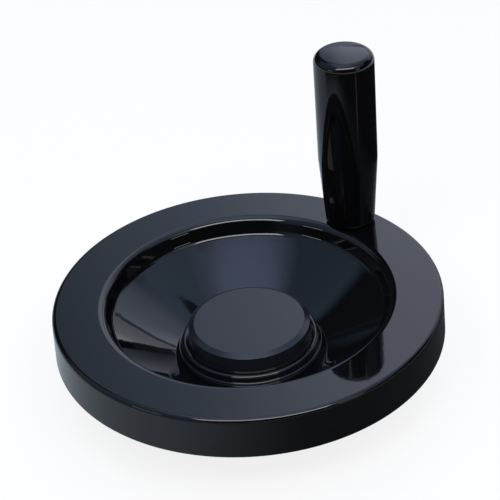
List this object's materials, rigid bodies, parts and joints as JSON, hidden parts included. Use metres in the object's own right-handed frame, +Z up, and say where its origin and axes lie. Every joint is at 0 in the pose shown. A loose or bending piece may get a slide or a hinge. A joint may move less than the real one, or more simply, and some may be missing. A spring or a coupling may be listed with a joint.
{
  "type": "machine handwheel",
  "caption": "Dished disc handwheel in black gloss plastic with an upright revolving grip on its rim, a snap-in hub cover and a steel bush with a keyway.",
  "frame": {"origin": "centre of the shaft bore in the hub's lower face, which seats on the shaft's shoulder", "axes": "+Z up along the wheel's axis, towards the hub cover and the grip's free end; +X from the wheel's axis to the grip"},
  "size_m": [0.1615, 0.16, 0.1209],
  "materials": {
    "gloss_thermoset": "moulded high gloss, black",
    "grip_thermoset": "moulded high gloss, black",
    "cover_polymer": "satin, black",
    "bush_steel": "turned, blackened, bore reamed",
    "insert_brass": "turned",
    "spindle_steel": "zinc plated",
    "spring_steel": "drawn wire",
    "liner_polymer": "natural polymer"
  },
  "bodies": {
    "wheel": {"wheel_body": "gloss_thermoset", "hub_bush": "bush_steel", "hub_cap": "cover_polymer", "rim_insert": "insert_brass", "grip_spindle": "spindle_steel", "retaining_ring": "spring_steel"},
    "grip": {"grip": "grip_thermoset", "grip_liner": "liner_polymer"}
  },
  "joints": [
    {"name": "grip_spin", "type": "hinge", "parent": "wheel", "child": "grip", "pos_m": [0.069, 0, 0.04], "axis": [0, 0, 1], "continuous": true}
  ]
}
